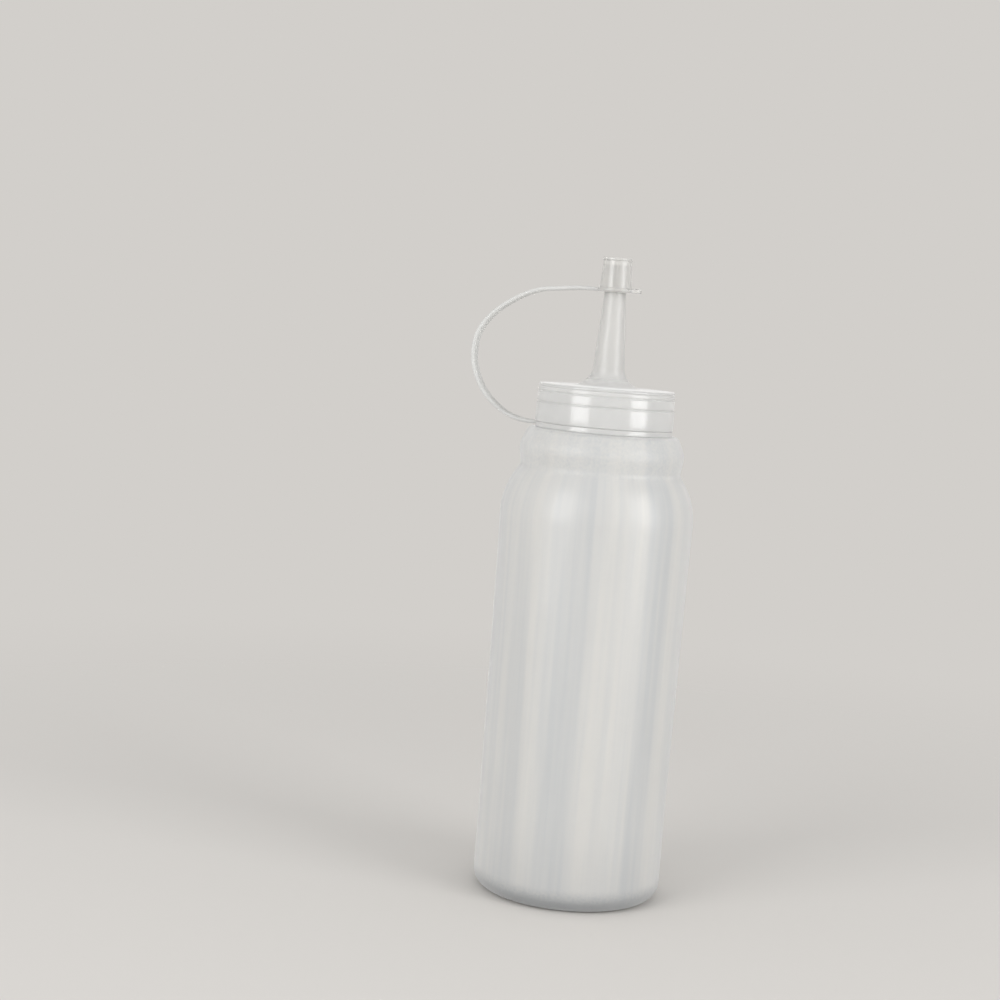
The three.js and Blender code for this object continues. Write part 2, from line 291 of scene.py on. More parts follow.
# %% [markdown]
# ## A screw thread
# A thread is one ridge wound round a cylinder, a fixed rise for each turn. Curve Spiral draws that
# line, and Curve to Mesh sweeps a small trapezoid along it. The ridge shrinks into the wall at both
# ends, as a moulded thread does so that it starts easily. Its caps are filled, because a closed
# ridge can be joined to the wall as one solid.

# %% The thread tree
# At each end the ridge's section shrinks to FADED_SIZE over FADE_SHARE of the ridge's length.
THREAD_STEPS = 96
FADE_SHARE = 0.1
FADED_SIZE = 0.3
thread_wanted = ["Radius", "Pitch", "Turns", "Start angle", "Start level"]
ridge, given = start_tree("thread ridge", {label: "Float" for label in thread_wanted})
climb = add_node(ridge, "ShaderNodeMath", {0: given["Pitch"], 1: given["Turns"]}, operation="MULTIPLY")
helix = add_node(
    ridge,
    "GeometryNodeCurveSpiral",
    {
        "Resolution": THREAD_STEPS,
        "Rotations": given["Turns"],
        "Start Radius": given["Radius"],
        "End Radius": given["Radius"],
        "Height": climb.outputs[0],
        "Reverse": True,
    },
)
upright = add_node(ridge, "GeometryNodeSetCurveNormal", {"Curve": helix.outputs["Curve"]}, mode="Z_UP")
section = add_node(ridge, "GeometryNodeMeshToCurve", {"Mesh": given["Geometry"]})
passed = add_node(ridge, "GeometryNodeSplineParameter").outputs["Factor"]
left_over = add_node(ridge, "ShaderNodeMath", {0: 1.0, 1: passed}, operation="SUBTRACT")
to_end = add_node(ridge, "ShaderNodeMath", {0: passed, 1: left_over.outputs[0]}, operation="MINIMUM")
full = add_node(
    ridge,
    "ShaderNodeMapRange",
    {"Value": to_end.outputs[0], "From Max": FADE_SHARE, "To Min": FADED_SIZE, "To Max": 1.0},
    interpolation_type="SMOOTHSTEP",
)
swept = add_node(
    ridge,
    "GeometryNodeCurveToMesh",
    {
        "Curve": upright.outputs["Curve"],
        "Profile Curve": section.outputs["Curve"],
        "Scale": full.outputs["Result"],
        "Fill Caps": True,
    },
)
turn_in = add_node(ridge, "ShaderNodeCombineXYZ", {"X": 0.0, "Y": 0.0, "Z": given["Start angle"]})
lift = add_node(ridge, "ShaderNodeCombineXYZ", {"X": 0.0, "Y": 0.0, "Z": given["Start level"]})
placed = add_node(
    ridge,
    "GeometryNodeTransform",
    {
        "Geometry": swept.outputs["Mesh"],
        "Translation": lift.outputs[0],
        "Rotation": turn_in.outputs[0],
    },
)
end_tree(ridge, placed.outputs["Geometry"], given["Finish"])
print("the thread tree has", len(ridge.nodes), "nodes")

# %% [markdown]
# ## Levels and radii
# These sizes, in millimetres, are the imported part's, and several pieces share them. The levels run
# from the surface that the bottle stands on up to the nozzle's tip. SEAT_GAP is the gap that the
# part's faceted solids keep where two pieces touch.

# %% The sizes that pieces share
SEAT_GAP = 0.3
PITCH = 4.23
WALL_TOP = 118.5
WAIST = 125.7
COLLAR = 131.5
SHOULDER_TOP = 136.9
RIM = 146.9
BODY_RADIUS = 28.5
NECK_RADIUS = 17.6
NECK_BORE = 16.3
SKIRT_BORE = 18.95
SKIRT_LEVEL = 138.7
CAP_TOP = 149.8
NOZZLE_TIP = 185.1
COLUMNS_LARGE = 160
COLUMNS_SMALL = 96
SHARP_ANGLE = math.radians(32)
print("the nozzle ends", NOZZLE_TIP, "mm up")

# %% [markdown]
# ## Polyethylene
# The whole bottle is natural low-density polyethylene, with no pigment. It is milky because it is
# half crystal: light gets through, but is spread on the way, so what lies behind is blurred, most
# of all through the thick parts. Part of the light is therefore let through by a rough refraction,
# and the rest is sent back as from a pale matte body. A thin gloss lies on top, because the surface
# itself is smooth. Glass would be far too clear, and a plain white plastic far too solid.

# %% Colours and the shared finish
IOR_POLYETHYLENE = 1.51


def colour_of(text):
    """An sRGB hex colour, as a linear colour."""
    parts = [int(text[i : i + 2], 16) / 255 for i in (1, 3, 5)]
    linear = [c / 12.92 if c <= 0.04045 else ((c + 0.055) / 1.055) ** 2.4 for c in parts]
    return (*linear, 1.0)


def start_material(name):
    material = bpy.data.materials.new(name)
    material.use_nodes = True
    material.node_tree.nodes.clear()
    place = add_node(material.node_tree, "ShaderNodeTexCoord").outputs["Object"]
    return material, material.node_tree, place


def end_material(tree, surface):
    out = tree.nodes.new("ShaderNodeOutputMaterial")
    tree.links.new(surface, out.inputs["Surface"])


def cloudy(tree, place, colour, milkier, grain_mm):
    """Slow changes of milkiness, grain_mm across, between two colours."""
    clouds = add_node(
        tree, "ShaderNodeTexNoise", {"Vector": place, "Scale": 1 / (grain_mm * MM), "Detail": 2.0}
    )
    mixed = add_node(
        tree,
        "ShaderNodeMix",
        {"Factor": clouds.outputs["Fac"], 6: colour_of(colour), 7: colour_of(milkier)},
        data_type="RGBA",
    )
    return mixed.outputs[2]


print("polyethylene bends light by", IOR_POLYETHYLENE)

# %% The blown bottle: its uneven wall, with painted light in its lines and painted shade at its heel
# Blow moulding draws upright lines in the wall, and where the wall is thicker it is milkier. The
# lines also carry painted light: the lighter ones are tinted warm, as by the lamps, and the darker ones
# cool. Fine die lines are 2.2 mm apart and broad ones 8 mm, and LINES_FROM is the place in the noise
# from which the broad lines lie as the light and dark streaks of reflected and refracted light lay on
# the real bottle. The mould chilled the collar under the cap and the heel first, so both are mottled,
# with spots 0.8 mm across, drawn stronger than a hand would feel them.
# The heel is the thickest part of the wall, but its darkening towards the floor is painted shade, the
# contact shadow under its curve. Each fade is a pair of levels.
# The noise keeps near its middle value, so the two colours are spread from CLEAREST to MILKIEST.
FINE_LINES = 2.2
BROAD_LINES = 8.0
BROAD_SHARE = 0.6
LINES_FROM = 4.6
MOTTLE = 0.8
COLLAR_FADE = (WAIST - 3, WAIST + 1)
COLLAR_MOTTLED = 0.4
HEEL_FADE = (8, 4)
HEEL_MOTTLED = 0.7
PAINTED_SHADE_FADE = (7.5, 1.5)
HEEL_PAINTED_SHADE = 0.9
CLEAREST = 0.37
MILKIEST = 0.63
blown, tree, place = start_material("blown natural polyethylene")
xyz = add_node(tree, "ShaderNodeSeparateXYZ", {0: place}).outputs
flat = add_node(tree, "ShaderNodeCombineXYZ", {"X": xyz["X"], "Y": xyz["Y"], "Z": 0.0})
round_it = add_node(tree, "ShaderNodeVectorMath", {0: flat.outputs[0]}, operation="NORMALIZE")
slow_height = add_node(tree, "ShaderNodeCombineXYZ", {"X": LINES_FROM, "Y": 0.0, "Z": xyz["Z"]})
line_place = add_node(
    tree, "ShaderNodeVectorMath", {0: round_it.outputs[0], 1: slow_height.outputs[0]}, operation="ADD"
)


def upright_lines(spacing):
    return add_node(
        tree,
        "ShaderNodeTexNoise",
        {"Vector": line_place.outputs[0], "Scale": BODY_RADIUS / spacing, "Detail": 2.0},
    ).outputs["Fac"]


fine = upright_lines(FINE_LINES)
broad = upright_lines(BROAD_LINES)
both = add_node(tree, "ShaderNodeMix", {"Factor": BROAD_SHARE, 2: fine, 3: broad}, data_type="FLOAT")
spots = add_node(
    tree, "ShaderNodeTexNoise", {"Vector": place, "Scale": 1 / (MOTTLE * MM), "Detail": 2.0}
)
at_collar = add_node(
    tree,
    "ShaderNodeMapRange",
    {
        "Value": xyz["Z"],
        "From Min": COLLAR_FADE[0] * MM,
        "From Max": COLLAR_FADE[1] * MM,
        "To Max": COLLAR_MOTTLED,
    },
    interpolation_type="SMOOTHSTEP",
)
at_heel = add_node(
    tree,
    "ShaderNodeMapRange",
    {
        "Value": xyz["Z"],
        "From Min": HEEL_FADE[0] * MM,
        "From Max": HEEL_FADE[1] * MM,
        "To Max": HEEL_MOTTLED,
    },
    interpolation_type="SMOOTHSTEP",
)
mottled = add_node(
    tree,
    "ShaderNodeMath",
    {0: at_collar.outputs["Result"], 1: at_heel.outputs["Result"]},
    operation="ADD",
)
uneven = add_node(
    tree,
    "ShaderNodeMix",
    {"Factor": mottled.outputs[0], 2: both.outputs[0], 3: spots.outputs["Fac"]},
    data_type="FLOAT",
)
# Partly painted light: the lighter streaks turn a warm white and the darker ones a cool grey, on top of
# the wall's real milkiness.
milk_and_light_share = add_node(
    tree,
    "ShaderNodeMapRange",
    {"Value": uneven.outputs[0], "From Min": CLEAREST, "From Max": MILKIEST},
)
milk_and_painted_light = add_node(
    tree,
    "ShaderNodeMix",
    {"Factor": milk_and_light_share.outputs["Result"], 6: colour_of("#edeff0"), 7: colour_of("#fffefb")},
    data_type="RGBA",
)
# Painted shade: towards the floor the colour turns to a dark grey, standing for the contact shadow
# under the heel's curve.
painted_heel_shade = add_node(
    tree,
    "ShaderNodeMapRange",
    {
        "Value": xyz["Z"],
        "From Min": PAINTED_SHADE_FADE[0] * MM,
        "From Max": PAINTED_SHADE_FADE[1] * MM,
        "To Max": HEEL_PAINTED_SHADE,
    },
    interpolation_type="SMOOTHSTEP",
)
heel_with_painted_shade = add_node(
    tree,
    "ShaderNodeMix",
    {"Factor": painted_heel_shade.outputs["Result"], 6: milk_and_painted_light.outputs[2], 7: colour_of("#b6babd")},
    data_type="RGBA",
)
print("the wall has about", round(math.tau * BODY_RADIUS / FINE_LINES), "fine lines round it")

# %% The blown bottle: its surface
# The two halves of the mould leave a hair of a line down each side, and a fine grain. The collar is
# rougher than the wall, by the share of the way to FROST_ROUGHNESS that it is mottled.
GRAIN = 0.5
SEAM_FADE = (0.35, 0.05)
WALL_ROUGHNESS = 0.38
FROST_ROUGHNESS = 0.85
grain = add_node(
    tree, "ShaderNodeTexNoise", {"Vector": place, "Scale": 1 / (GRAIN * MM), "Detail": 2.0}
)
to_seam = add_node(tree, "ShaderNodeMath", {0: xyz["Y"]}, operation="ABSOLUTE")
seam = add_node(
    tree,
    "ShaderNodeMapRange",
    {"Value": to_seam.outputs[0], "From Min": SEAM_FADE[0] * MM, "From Max": SEAM_FADE[1] * MM},
    interpolation_type="SMOOTHSTEP",
)


def raised(pattern, high, strength, below=None):
    """A bump that is high millimetres high where its pattern is 1, on top of another one."""
    inputs = {"Height": pattern, "Strength": strength, "Distance": high * MM}
    if below:
        inputs["Normal"] = below
    return add_node(tree, "ShaderNodeBump", inputs).outputs["Normal"]


lined = raised(uneven.outputs[0], high=0.14, strength=1.0)
seamed = raised(seam.outputs["Result"], high=0.04, strength=1.0, below=lined)
grained = raised(grain.outputs["Fac"], high=0.02, strength=0.6, below=seamed)
frosted = add_node(
    tree,
    "ShaderNodeMapRange",
    {"Value": at_collar.outputs["Result"], "To Min": WALL_ROUGHNESS, "To Max": FROST_ROUGHNESS},
)
body = add_node(
    tree,
    "ShaderNodeBsdfPrincipled",
    {
        "Base Color": heel_with_painted_shade.outputs[2],
        "Roughness": frosted.outputs["Result"],
        "IOR": IOR_POLYETHYLENE,
        "Transmission Weight": 0.58,
        "Coat Weight": 0.25,
        "Coat Roughness": 0.22,
        "Sheen Weight": 0.6,
        "Sheen Roughness": 0.5,
        "Normal": grained,
    },
)
end_material(tree, body.outputs["BSDF"])
print(blown.name, "has", len(tree.nodes), "nodes")

# %% The injection-moulded pieces: glossier, clearer where thin
# Injection moulding against polished steel gives a glossier skin than blowing does. The nozzle is
# slender and less milky than the cap's skirt, and the tip cap over it lets the most light through.
CLOUDS = 9
RIPPLES = 4
NOZZLE_FOOT = 6
ALOFT_SHARE = 0.75
SCATTER_DEPTH = 4


def injected(name, colour, milkier, aloft_colour, clear, polished, matte, scattered=0.0):
    """Up to CAP_TOP it is cloudy between its two colours, and as smooth as polished says. Above
    the nozzle's foot it is nearer to aloft_colour, and as matte as matte says. Where light is
    scattered inside, coat and sheen are left out by the same share."""
    material, tree, place = start_material(name)
    ripple = add_node(
        tree, "ShaderNodeTexNoise", {"Vector": place, "Scale": 1 / (RIPPLES * MM), "Detail": 1.0}
    )
    bump = add_node(
        tree,
        "ShaderNodeBump",
        {"Height": ripple.outputs["Fac"], "Strength": 1.0, "Distance": 0.02 * MM},
    )
    level = add_node(tree, "ShaderNodeSeparateXYZ", {0: place}).outputs["Z"]
    aloft = add_node(
        tree,
        "ShaderNodeMapRange",
        {"Value": level, "From Min": CAP_TOP * MM, "From Max": (CAP_TOP + NOZZLE_FOOT) * MM},
        interpolation_type="SMOOTHSTEP",
    ).outputs["Result"]
    rough = add_node(tree, "ShaderNodeMapRange", {"Value": aloft, "To Min": polished, "To Max": matte})
    thinner = add_node(tree, "ShaderNodeMath", {0: aloft, 1: ALOFT_SHARE}, operation="MULTIPLY")
    tinted = add_node(
        tree,
        "ShaderNodeMix",
        {
            "Factor": thinner.outputs[0],
            6: cloudy(tree, place, colour, milkier, CLOUDS),
            7: colour_of(aloft_colour),
        },
        data_type="RGBA",
    )
    body = add_node(
        tree,
        "ShaderNodeBsdfPrincipled",
        {
            "Base Color": tinted.outputs[2],
            "Roughness": rough.outputs["Result"],
            "IOR": IOR_POLYETHYLENE,
            "Transmission Weight": clear,
            "Subsurface Weight": scattered,
            "Subsurface Radius": (1.0, 1.0, 1.0),
            "Subsurface Scale": SCATTER_DEPTH * MM,
            "Coat Weight": 0.5 * (1 - scattered),
            "Coat Roughness": 0.12,
            "Sheen Weight": 0.6 * (1 - scattered),
            "Sheen Roughness": 0.3,
            "Normal": bump.outputs["Normal"],
        },
    )
    end_material(tree, body.outputs["BSDF"])
    return material


cap_finish = injected(
    "injection-moulded natural polyethylene",
    colour="#fdfdfc",
    milkier="#fffffe",
    aloft_colour="#eeedea",
    clear=0.55,
    polished=0.15,
    matte=0.5,
)
tip_finish = injected(
    "thin injection-moulded polyethylene",
    colour="#fcfcfa",
    milkier="#fffffe",
    aloft_colour="#f3f2ef",
    clear=0.66,
    polished=0.25,
    matte=0.25,
)
# Polyethylene turns whiter and more matte where it is strained, as the strap is along its bend. Its
# light is scattered inside, so it looks evenly pale from any side.
strained_finish = injected(
    "strained polyethylene",
    colour="#cdcdca",
    milkier="#d6d6d3",
    aloft_colour="#d2d2cf",
    clear=0.2,
    polished=0.42,
    matte=0.42,
    scattered=1.0,
)

# %% The washer: white foamed polyethylene
# The foam's closed cells show on its face as shallow dimples, 0.6 mm across.
CELLS = 0.6
foam, tree, place = start_material("foamed polyethylene")
cells = add_node(tree, "ShaderNodeTexVoronoi", {"Vector": place, "Scale": 1 / (CELLS * MM)})
dimples = add_node(
    tree,
    "ShaderNodeBump",
    {"Height": cells.outputs["Distance"], "Strength": 0.5, "Distance": 0.05 * MM},
)
body = add_node(
    tree,
    "ShaderNodeBsdfPrincipled",
    {
        "Base Color": cloudy(tree, place, "#e6e5e0", "#f0efec", grain_mm=3),
        "Roughness": 0.75,
        "Normal": dimples.outputs["Normal"],
    },
)
end_material(tree, body.outputs["BSDF"])
print("finishes:", [m.name for m in bpy.data.materials if m.users])

# %% [markdown]
# ## The blown bottle
# The bottle is one shell, blown in a two-part mould, 0.9 mm thick at the side and thicker at the
# neck and the base. Its outline goes out under the base, up the side wall, over the rim and back
# down inside, so the wall has a real thickness and light bends in it as it should. The side wall is
# pressed in by up to a third of a millimetre here and there. The neck's thread and the seam where
# the mould pinched the base shut are then joined on by a boolean, which gives one closed solid.

# %% Turned, joined and finished pieces
# A wall is pressed in only between PRESS_FROM and WALL_TOP, and fully only PRESS_FADE inside them.
PRESS_FROM = 7
PRESS_FADE = 25


def turn(name, corners, finish, columns, closed=False, longest_step=None, press=0.0):
    outline = line_mesh(name + "_outline", outline_of(corners, closed, longest_step))
    values = {
        "Columns": columns,
        "Press in": press * MM,
        "Press from": PRESS_FROM * MM,
        "Press to": WALL_TOP * MM,
        "Press fade": PRESS_FADE * MM,
        "Finish": finish,
    }
    return grow(name, outline, lathe, values)


def section_mesh(name, points):
    """A closed section (out, up) in millimetres, drawn flat, for a curve to carry."""
    mesh = bpy.data.meshes.new(name)
    places = [(x * MM, y * MM, 0) for x, y in points]
    sides = [(i, (i + 1) % len(points)) for i in range(len(points))]
    mesh.from_pydata(places, sides, [])
    return mesh


def join_solids(main, *others):
    """Joins closed solids into the first one, and takes the others away."""
    for other in others:
        union = main.modifiers.new("union", "BOOLEAN")
        union.operation = "UNION"
        union.solver = "MANIFOLD"
        union.object = other
    bpy.context.view_layer.update()
    shown = main.evaluated_get(bpy.context.evaluated_depsgraph_get())
    joined = bpy.data.meshes.new_from_object(shown)
    main.modifiers.clear()
    main.data = joined
    joined.name = main.name
    for other in others:
        bpy.data.objects.remove(other)
    return main


def settle(piece, body, node, ride=True):
    """The last steps that every piece shares."""
    piece.data.set_sharp_from_angle(angle=SHARP_ANGLE)
    if ride:
        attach(piece, body)
    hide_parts(node)
    report(piece)


# %% The bottle's shell
WALL = 0.9
PANEL_LEVEL = 0.8
INSIDE_LEVEL = 2.0
WALL_PRESS = 0.35
shell = turn(
    "bottle_shell",
    [
        (0, PANEL_LEVEL),
        (17.0, PANEL_LEVEL, 1.5),
        (20.0, 0, 0.8),
        (27.6, 0, 4.7),
        (BODY_RADIUS, WALL_TOP, 22.7),
        (23.3, WAIST, 2.2),
        (24.35, COLLAR, 7.0),
        (21.9, SHOULDER_TOP, 2.2),
        (NECK_RADIUS, SHOULDER_TOP, 0.6),
        (NECK_RADIUS, RIM, 0.4),
        (NECK_BORE, RIM, 0.4),
        (NECK_BORE, SHOULDER_TOP - WALL, 1.9),
        (21.0, SHOULDER_TOP - WALL, 1.3),
        (23.45, COLLAR, 6.1),
        (22.4, WAIST, 3.1),
        (BODY_RADIUS - WALL, WALL_TOP, 21.8),
        (26.7, INSIDE_LEVEL, 3.8),
        (0, INSIDE_LEVEL),
    ],
    blown,
    COLUMNS_LARGE,
    longest_step=2.5,
    press=WALL_PRESS,
)
report(shell)

# %% The neck's thread and the pinched seam
# A ridge's root reaches THREAD_SINK into its wall. The neck's ends THREAD_LAND below the rim.
NECK_THREAD_TURNS = 1.25
NECK_THREAD_CREST = 0.9
THREAD_DEPTH = 1.05
THREAD_SINK = 0.4
THREAD_LAND = 1.1
BAR_RINGS = 16
BAR_SIDES = 12
BAR_BLUNTNESS = 0.4
neck_thread_start = RIM - THREAD_LAND - NECK_THREAD_CREST / 2 - NECK_THREAD_TURNS * PITCH


def thread(name, half_section, radius, turns, start_angle, start_level, finish):
    """half_section is (out, half height) in millimetres, and the other half mirrors it."""
    section = [(out, -up) for out, up in half_section]
    section += [(out, up) for out, up in reversed(half_section)]
    values = {
        "Radius": radius * MM,
        "Pitch": PITCH * MM,
        "Turns": turns,
        "Start angle": start_angle,
        "Start level": start_level * MM,
        "Finish": finish,
    }
    return grow(name, section_mesh(name + "_section", section), ridge, values)


def rounded_bar(name, length, width, height, finish):
    """A bar along X with rounded ends and a rounded back, whose middle line is on the origin."""
    mesh = bpy.data.meshes.new(name)
    corners = []
    for ring in range(BAR_RINGS + 1):
        swing = math.pi * (ring / BAR_RINGS - 0.5)
        size = math.cos(swing) ** BAR_BLUNTNESS if 0 < ring < BAR_RINGS else 0.0
        for side in range(BAR_SIDES):
            around = math.tau * side / BAR_SIDES
            corners.append(
                (
                    math.sin(swing) * length / 2 * MM,
                    math.cos(around) * size * width / 2 * MM,
                    math.sin(around) * size * height / 2 * MM,
                )
            )
    faces = []
    for near in range(0, BAR_RINGS * BAR_SIDES, BAR_SIDES):
        far = near + BAR_SIDES
        for side in range(BAR_SIDES):
            after = (side + 1) % BAR_SIDES
            faces.append((near + side, far + side, far + after, near + after))
    mesh.from_pydata(corners, [], faces)
    bar = bmesh.new()
    bar.from_mesh(mesh)
    bmesh.ops.remove_doubles(bar, verts=bar.verts, dist=SAME_POINT * MM)
    bmesh.ops.recalc_face_normals(bar, faces=bar.faces)
    bar.to_mesh(mesh)
    bar.free()
    mesh.materials.append(finish)
    made = bpy.data.objects.new(name, mesh)
    bpy.context.scene.collection.objects.link(made)
    return made


neck_thread = thread(
    "neck_thread",
    [(-THREAD_SINK, 1.0), (0.8, 0.55), (THREAD_DEPTH, 0.3)],
    NECK_RADIUS,
    turns=NECK_THREAD_TURNS,
    start_angle=0.0,
    start_level=neck_thread_start,
    finish=blown,
)
pinch_seam = rounded_bar("pinch_seam", length=30, width=1.1, height=0.8, finish=blown)
pinch_seam.data.transform(Matrix.Translation((0, 0, PANEL_LEVEL * MM)))
bottle_shell = join_solids(shell, neck_thread, pinch_seam)
settle(bottle_shell, "bottle", "bottle_body")

# %% [markdown]
# ## Washer and screw cap
# The washer is a flat disc with a hole, pressed on the rim when the cap is screwed down. The cap's
# skirt has three bands, each a hair narrower than the one below, with a groove between. Its top
# plate climbs in a hollow curve into the nozzle, a slender cone with a bore all the way up.

# %% The washer
SEAL_LEVEL = RIM + SEAT_GAP
SEAL_TOP = SEAL_LEVEL + 1.0
SEAL_HOLE = NECK_BORE - 0.6
SEAL_RADIUS = SKIRT_BORE - SEAT_GAP
washer = turn(
    "sealing_washer",
    [
        (SEAL_HOLE, SEAL_LEVEL, 0.15),
        (SEAL_RADIUS, SEAL_LEVEL, 0.15),
        (SEAL_RADIUS, SEAL_TOP, 0.15),
        (SEAL_HOLE, SEAL_TOP, 0.15),
    ],
    foam,
    COLUMNS_SMALL,
    closed=True,
)
settle(washer, "seal", "seal_ring")

# %% The screw cap
# The skirt is drawn a little longer than the part's, so its seat over the ring looks closed. The
# cap's thread starts CAP_TURN_IN of a turn round and runs half a pitch below the neck's helix, so
# its ridge lies between the neck's turns when the cap is down.
CAP_RADIUS = SKIRT_BORE + 1.3
BAND_STEP = 0.15
SKIRT_FOOT = SKIRT_LEVEL - 0.1
CEILING = SEAL_TOP + SEAT_GAP
NOZZLE_FOOT_RADIUS = 5.0
NOZZLE_TIP_RADIUS = 2.55
NOZZLE_FLARE = 6.0
NOZZLE_WALL = 1.1
CAP_TURN_IN = 25 / 48
LOWER_GROOVE = SKIRT_LEVEL + 5.8
UPPER_GROOVE = LOWER_GROOVE + 3.1
FINE_LINE = CAP_TOP - 0.95
middle_radius = CAP_RADIUS - BAND_STEP
top_radius = middle_radius - BAND_STEP


def groove(level, below, above, depth, height):
    """Its four corners from the bottom up. Its floor is a fifth as high as its mouth."""
    return [
        (below, level - height / 2, 0.12),
        (above - depth, level - height * 0.1, 0.1),
        (above - depth, level + height * 0.1, 0.1),
        (above, level + height / 2, 0.12),
    ]


cap = turn(
    "nozzle_cap",
    [
        (SKIRT_BORE, SKIRT_FOOT, 0.15),
        (CAP_RADIUS, SKIRT_FOOT, 0.2),
        *groove(LOWER_GROOVE, CAP_RADIUS, middle_radius, 0.22, 0.8),
        *groove(UPPER_GROOVE, middle_radius, top_radius, 0.22, 0.8),
        *groove(FINE_LINE, top_radius, top_radius, 0.14, 0.55),
        (top_radius, CAP_TOP, 0.45),
        (NOZZLE_FOOT_RADIUS, CAP_TOP + 0.25, NOZZLE_FLARE),
        (NOZZLE_TIP_RADIUS, NOZZLE_TIP, 0.3),
        (NOZZLE_TIP_RADIUS - NOZZLE_WALL, NOZZLE_TIP, 0.25),
        (NOZZLE_FOOT_RADIUS - NOZZLE_WALL, CEILING, NOZZLE_FLARE + NOZZLE_WALL),
        (SKIRT_BORE, CEILING, 0.8),
    ],
    cap_finish,
    COLUMNS_LARGE,
    closed=True,
    longest_step=4,
)
cap_thread = thread(
    "cap_thread",
    [(-THREAD_DEPTH, 0.2), (-0.85, 0.4), (THREAD_SINK, 0.8)],
    SKIRT_BORE,
    turns=1.0,
    start_angle=CAP_TURN_IN * math.tau,
    start_level=neck_thread_start + (CAP_TURN_IN - 0.5) * PITCH,
    finish=cap_finish,
)
nozzle_cap = join_solids(cap, cap_thread)
settle(nozzle_cap, "cap", "screw_cap")

# %% [markdown]
# ## The tether
# Ring, strap and tip cap come out of one mould. The strap is a flat band with rounded edges that
# loops out to the side. It follows a line, so Curve to Mesh sweeps its section along that line, and
# the band is made broader and thinner where it runs into the ring and the flange. Its flat side
# faces the loop's middle, so the line's normal is fixed across the loop.

# %% The ring round the neck
# The ring is drawn a little thicker than the part's, so its seat on the shoulder looks closed.
RING_LEVEL = SHOULDER_TOP + 0.06
RING_THICKNESS = 1.56
RING_OUTER = SKIRT_BORE + 1.15
TETHER_DEGREES = -17
TETHER_TURN = Matrix.Rotation(math.radians(TETHER_DEGREES), 4, "Z")
tether_ring = turn(
    "tether_ring",
    [
        (SKIRT_BORE, RING_LEVEL, 0.12),
        (RING_OUTER, RING_LEVEL, 0.15),
        (RING_OUTER, RING_LEVEL + RING_THICKNESS, 0.15),
        (SKIRT_BORE, RING_LEVEL + RING_THICKNESS, 0.12),
    ],
    cap_finish,
    COLUMNS_SMALL,
    closed=True,
)
settle(tether_ring, "tether", "neck_ring")

# %% The strap tree
ROOT_SHARE = 0.07
band_wanted = {"Across": "Vector", "Root thinning": "Float", "Root broadening": "Float", "Steps": "Int"}
band, given = start_tree("strap along its line", {**band_wanted, "Section": "Object"})
line = add_node(band, "GeometryNodeMeshToCurve", {"Mesh": given["Geometry"]})
bent = add_node(
    band, "GeometryNodeCurveSplineType", {"Curve": line.outputs["Curve"]}, spline_type="CATMULL_ROM"
)
even = add_node(
    band, "GeometryNodeResampleCurve", {"Curve": bent.outputs["Curve"], "Count": given["Steps"]}
)
facing = add_node(
    band,
    "GeometryNodeSetCurveNormal",
    {"Curve": even.outputs["Curve"], "Normal": given["Across"]},
    mode="FREE",
)
passed = add_node(band, "GeometryNodeSplineParameter").outputs["Factor"]
left_over = add_node(band, "ShaderNodeMath", {0: 1.0, 1: passed}, operation="SUBTRACT")
to_end = add_node(band, "ShaderNodeMath", {0: passed, 1: left_over.outputs[0]}, operation="MINIMUM")
root = add_node(
    band,
    "ShaderNodeMapRange",
    {"Value": to_end.outputs[0], "From Min": 0.0, "From Max": ROOT_SHARE, "To Min": 1.0, "To Max": 0.0},
    interpolation_type="SMOOTHSTEP",
)
marked = add_node(
    band,
    "GeometryNodeStoreNamedAttribute",
    {"Geometry": facing.outputs["Curve"], "Name": "root", "Value": root.outputs["Result"]},
    data_type="FLOAT",
    domain="POINT",
)
thinning = add_node(
    band,
    "ShaderNodeMath",
    {0: root.outputs["Result"], 1: given["Root thinning"], 2: 1.0},
    operation="MULTIPLY_ADD",
)
outline = add_node(band, "GeometryNodeObjectInfo", {"Object": given["Section"]})
outline_line = add_node(band, "GeometryNodeMeshToCurve", {"Mesh": outline.outputs["Geometry"]})
swept = add_node(
    band,
    "GeometryNodeCurveToMesh",
    {
        "Curve": marked.outputs["Geometry"],
        "Profile Curve": outline_line.outputs["Curve"],
        "Scale": thinning.outputs[0],
        "Fill Caps": True,
    },
)

# %% Broaden the strap's roots
here = add_node(band, "GeometryNodeInputPosition").outputs[0]
sideways = add_node(
    band, "ShaderNodeVectorMath", {0: here, 1: given["Across"]}, operation="DOT_PRODUCT"
)
at_root = add_node(band, "GeometryNodeInputNamedAttribute", {"Name": "root"}, data_type="FLOAT")
broader = add_node(
    band,
    "ShaderNodeMath",
    {0: at_root.outputs["Attribute"], 1: given["Root broadening"]},
    operation="MULTIPLY",
)
push = add_node(
    band, "ShaderNodeMath", {0: sideways.outputs["Value"], 1: broader.outputs[0]}, operation="MULTIPLY"
)
pushed = add_node(
    band, "ShaderNodeVectorMath", {0: given["Across"], "Scale": push.outputs[0]}, operation="SCALE"
)
spread = add_node(
    band, "GeometryNodeSetPosition", {"Geometry": swept.outputs["Mesh"], "Offset": pushed.outputs[0]}
)
end_tree(band, spread.outputs["Geometry"], given["Finish"])
print("the strap tree has", len(band.nodes), "nodes")

